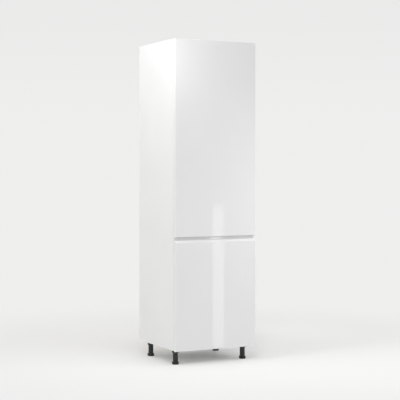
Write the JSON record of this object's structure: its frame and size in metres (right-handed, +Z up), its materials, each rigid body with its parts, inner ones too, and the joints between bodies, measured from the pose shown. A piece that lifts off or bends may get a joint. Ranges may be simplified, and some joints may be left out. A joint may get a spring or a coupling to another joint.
{
  "type": "tall kitchen cabinet",
  "caption": "Tall free-standing kitchen cabinet with gloss white handleless doors, a grip gap between them, and black adjustable legs.",
  "frame": {"origin": "on the floor, under the middle of the cabinet with its doors", "axes": "+Z up, the doors face -Y, +X to the right seen from the front"},
  "size_m": [0.6, 0.56, 2.12],
  "materials": {
    "door_front": "high gloss white lacquer on fibreboard",
    "carcass_board": "white melamine facing on chipboard, low sheen",
    "back_board": "white painted hardboard, matt",
    "bright_steel": "nickel plated, semi-gloss",
    "leg_plastic": "black moulded plastic, satin"
  },
  "bodies": {
    "carcass": {"side_left": "carcass_board", "side_right": "carcass_board", "top_panel": "carcass_board", "bottom_panel": "carcass_board", "fixed_shelf": "carcass_board", "grip_rail": "carcass_board", "rear_rail_middle": "carcass_board", "rear_rail_top": "carcass_board", "shelf_1": "carcass_board", "shelf_2": "carcass_board", "shelf_3": "carcass_board", "back_lower": "back_board", "back_upper": "back_board", "shelf_pin_1_left_front": "bright_steel", "shelf_pin_1_left_rear": "bright_steel", "shelf_pin_1_right_front": "bright_steel", "shelf_pin_1_right_rear": "bright_steel", "shelf_pin_2_left_front": "bright_steel", "shelf_pin_2_left_rear": "bright_steel", "shelf_pin_2_right_front": "bright_steel", "shelf_pin_2_right_rear": "bright_steel", "shelf_pin_3_left_front": "bright_steel", "shelf_pin_3_left_rear": "bright_steel", "shelf_pin_3_right_front": "bright_steel", "shelf_pin_3_right_rear": "bright_steel", "hinge_plate_upper_1": "bright_steel", "hinge_arm_upper_1": "bright_steel", "hinge_plate_upper_2": "bright_steel", "hinge_arm_upper_2": "bright_steel", "hinge_plate_upper_3": "bright_steel", "hinge_arm_upper_3": "bright_steel", "hinge_plate_lower_1": "bright_steel", "hinge_arm_lower_1": "bright_steel", "hinge_plate_lower_2": "bright_steel", "hinge_arm_lower_2": "bright_steel", "leg_socket_front_left": "leg_plastic", "leg_tube_front_left": "leg_plastic", "leg_socket_front_right": "leg_plastic", "leg_tube_front_right": "leg_plastic", "leg_socket_rear_left": "leg_plastic", "leg_tube_rear_left": "leg_plastic", "leg_socket_rear_right": "leg_plastic", "leg_tube_rear_right": "leg_plastic"},
    "upper_links": {"hinge_link_upper_1": "bright_steel", "hinge_link_upper_2": "bright_steel", "hinge_link_upper_3": "bright_steel"},
    "upper_door": {"door_upper": "door_front", "hinge_cup_upper_1": "bright_steel", "hinge_cup_upper_2": "bright_steel", "hinge_cup_upper_3": "bright_steel"},
    "lower_links": {"hinge_link_lower_1": "bright_steel", "hinge_link_lower_2": "bright_steel"},
    "lower_door": {"door_lower": "door_front", "hinge_cup_lower_1": "bright_steel", "hinge_cup_lower_2": "bright_steel"},
    "foot_front_left": {"leg_foot_front_left": "leg_plastic"},
    "foot_front_right": {"leg_foot_front_right": "leg_plastic"},
    "foot_rear_left": {"leg_foot_rear_left": "leg_plastic"},
    "foot_rear_right": {"leg_foot_rear_right": "leg_plastic"}
  },
  "joints": [
    {"name": "upper_link_turn", "type": "hinge", "parent": "carcass", "child": "upper_links", "pos_m": [0.269, -0.261, 1.477], "axis": [0, 0, 1], "range_deg": [-35, 0]},
    {"name": "upper_door_hinge", "type": "hinge", "parent": "upper_links", "child": "upper_door", "pos_m": [0.2872, -0.2675, 1.477], "axis": [0, 0, 1], "range_deg": [0, 140]},
    {"name": "lower_link_turn", "type": "hinge", "parent": "carcass", "child": "lower_links", "pos_m": [0.269, -0.261, 0.4535], "axis": [0, 0, 1], "range_deg": [-35, 0]},
    {"name": "lower_door_hinge", "type": "hinge", "parent": "lower_links", "child": "lower_door", "pos_m": [0.2872, -0.2675, 0.4535], "axis": [0, 0, 1], "range_deg": [0, 140]},
    {"name": "foot_adjust_front_left", "type": "slide", "parent": "carcass", "child": "foot_front_left", "axis": [0, 0, -1], "range_m": [0, 0.02]},
    {"name": "foot_adjust_front_right", "type": "slide", "parent": "carcass", "child": "foot_front_right", "axis": [0, 0, -1], "range_m": [0, 0.02]},
    {"name": "foot_adjust_rear_left", "type": "slide", "parent": "carcass", "child": "foot_rear_left", "axis": [0, 0, -1], "range_m": [0, 0.02]},
    {"name": "foot_adjust_rear_right", "type": "slide", "parent": "carcass", "child": "foot_rear_right", "axis": [0, 0, -1], "range_m": [0, 0.02]}
  ],
  "couplings": [
    {"joint": "upper_link_turn", "follows": "upper_door_hinge", "ratio": -0.25},
    {"joint": "lower_link_turn", "follows": "lower_door_hinge", "ratio": -0.25}
  ]
}
